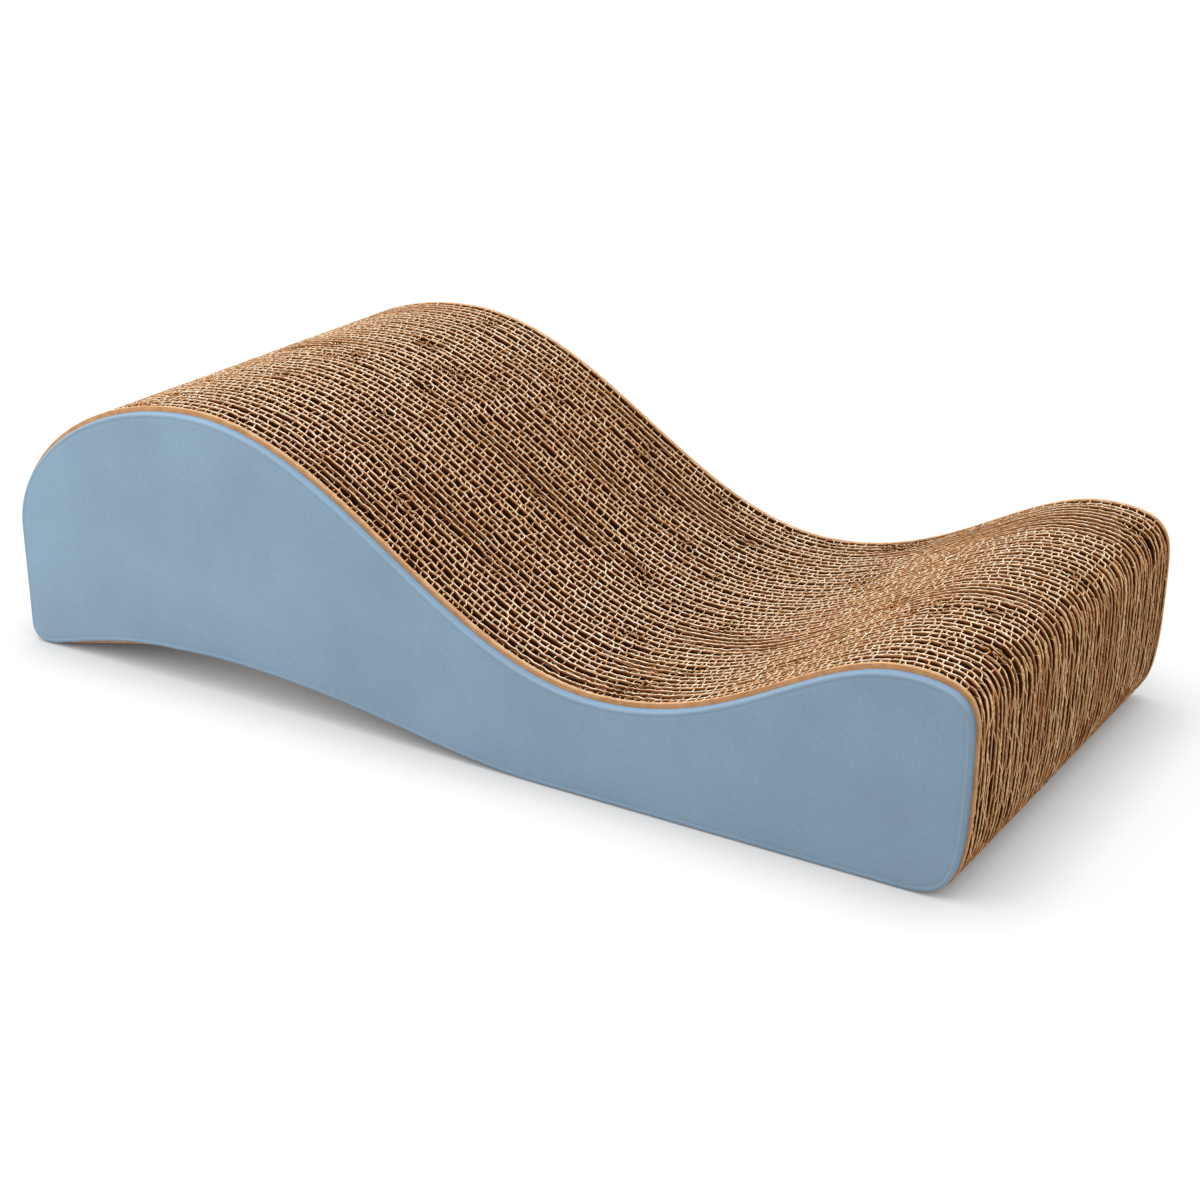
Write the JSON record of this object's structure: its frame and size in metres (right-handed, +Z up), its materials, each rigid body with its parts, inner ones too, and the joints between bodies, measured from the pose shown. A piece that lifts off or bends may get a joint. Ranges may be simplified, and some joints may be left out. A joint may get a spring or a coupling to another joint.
{
  "type": "wave cat scratcher",
  "caption": "Low wave-shaped scratching lounge for a cat: corrugated board sheets glued on edge, with a tall hump, a saddle, a low lip and blue side panels.",
  "frame": {"origin": "on the floor under the middle of the object", "axes": "+X along the length from the tall head to the low tail, +Y across the stack to the far side panel, +Z up"},
  "size_m": [0.5588, 0.254, 0.1524],
  "materials": {
    "corrugated_core": "matt natural kraft board, cut edges bare",
    "kraft_facing": "matt solid kraft board, cut edges bare",
    "blue_panel": "matt pale blue paper over thick board, rounded outer edge"
  },
  "bodies": {
    "root": {"near_side_panel": "blue_panel", "near_facing_board": "kraft_facing", "corrugated_sheet_01": "corrugated_core", "corrugated_sheet_02": "corrugated_core", "corrugated_sheet_03": "corrugated_core", "corrugated_sheet_04": "corrugated_core", "corrugated_sheet_05": "corrugated_core", "corrugated_sheet_06": "corrugated_core", "corrugated_sheet_07": "corrugated_core", "corrugated_sheet_08": "corrugated_core", "corrugated_sheet_09": "corrugated_core", "corrugated_sheet_10": "corrugated_core", "corrugated_sheet_11": "corrugated_core", "corrugated_sheet_12": "corrugated_core", "corrugated_sheet_13": "corrugated_core", "corrugated_sheet_14": "corrugated_core", "corrugated_sheet_15": "corrugated_core", "corrugated_sheet_16": "corrugated_core", "corrugated_sheet_17": "corrugated_core", "corrugated_sheet_18": "corrugated_core", "corrugated_sheet_19": "corrugated_core", "corrugated_sheet_20": "corrugated_core", "corrugated_sheet_21": "corrugated_core", "corrugated_sheet_22": "corrugated_core", "corrugated_sheet_23": "corrugated_core", "corrugated_sheet_24": "corrugated_core", "corrugated_sheet_25": "corrugated_core", "far_facing_board": "kraft_facing", "far_side_panel": "blue_panel"}
  },
  "joints": []
}
